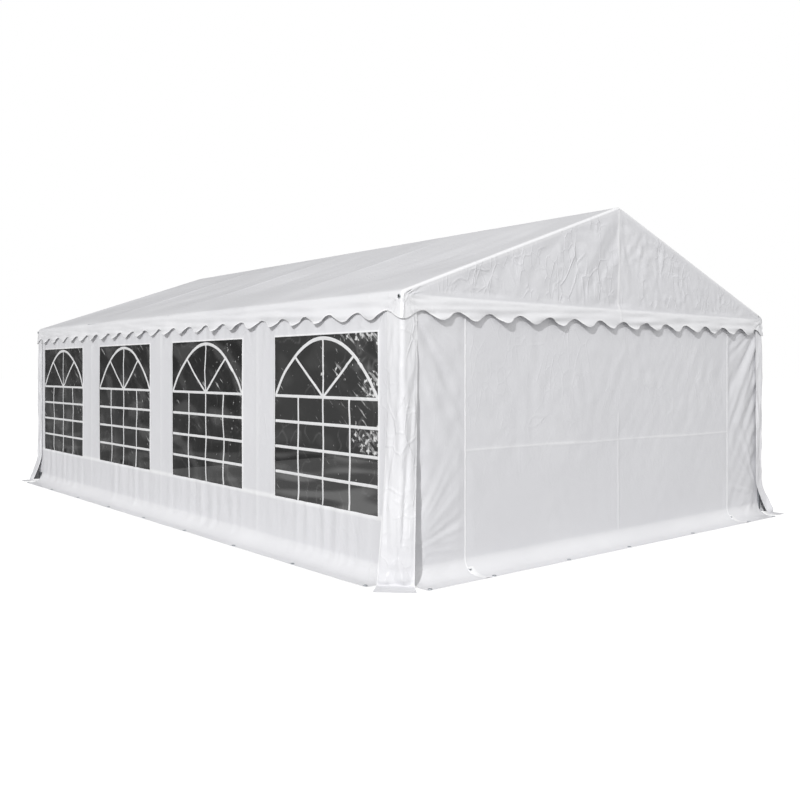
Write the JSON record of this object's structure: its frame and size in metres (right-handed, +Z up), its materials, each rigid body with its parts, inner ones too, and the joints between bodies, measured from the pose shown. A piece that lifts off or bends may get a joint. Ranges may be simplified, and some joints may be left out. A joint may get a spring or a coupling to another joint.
{
  "type": "party marquee tent",
  "caption": "White party tent with a plugged steel frame, gable roof with scalloped valance, walls with arched windows and zipped doors in both ends.",
  "frame": {"origin": "on the ground at the middle of the plan", "axes": "+Y along the ridge towards the rear end, +X across the tent towards its right long wall, +Z up"},
  "size_m": [5.6, 8.422, 3.0249],
  "materials": {
    "galvanised_steel": "bright zinc-coated steel tube",
    "white_cloth": "white coated cloth, satin",
    "clear_film": "clear soft film with white glazing bars, creased"
  },
  "bodies": {
    "root": {"post_left_1": "galvanised_steel", "post_left_2": "galvanised_steel", "post_left_3": "galvanised_steel", "post_left_4": "galvanised_steel", "post_left_5": "galvanised_steel", "rafter_left_1": "galvanised_steel", "rafter_left_2": "galvanised_steel", "rafter_left_3": "galvanised_steel", "rafter_left_4": "galvanised_steel", "rafter_left_5": "galvanised_steel", "eave_rail_left": "galvanised_steel", "post_right_1": "galvanised_steel", "post_right_2": "galvanised_steel", "post_right_3": "galvanised_steel", "post_right_4": "galvanised_steel", "post_right_5": "galvanised_steel", "rafter_right_1": "galvanised_steel", "rafter_right_2": "galvanised_steel", "rafter_right_3": "galvanised_steel", "rafter_right_4": "galvanised_steel", "rafter_right_5": "galvanised_steel", "eave_rail_right": "galvanised_steel", "ridge_rail": "galvanised_steel", "gable_rail_front": "galvanised_steel", "gable_rail_rear": "galvanised_steel", "roof_left": "white_cloth", "wall_left": "white_cloth", "window_left_1": "clear_film", "window_left_2": "clear_film", "window_left_3": "clear_film", "window_left_4": "clear_film", "roof_right": "white_cloth", "wall_right": "white_cloth", "window_right_1": "clear_film", "window_right_2": "clear_film", "window_right_3": "clear_film", "window_right_4": "clear_film", "gable_front": "white_cloth", "end_wall_front": "white_cloth", "door_front": "white_cloth", "corner_strip_front_left": "white_cloth", "corner_strip_front_right": "white_cloth", "gable_rear": "white_cloth", "end_wall_rear": "white_cloth", "door_rear": "white_cloth", "corner_strip_rear_left": "white_cloth", "corner_strip_rear_right": "white_cloth"}
  },
  "joints": []
}
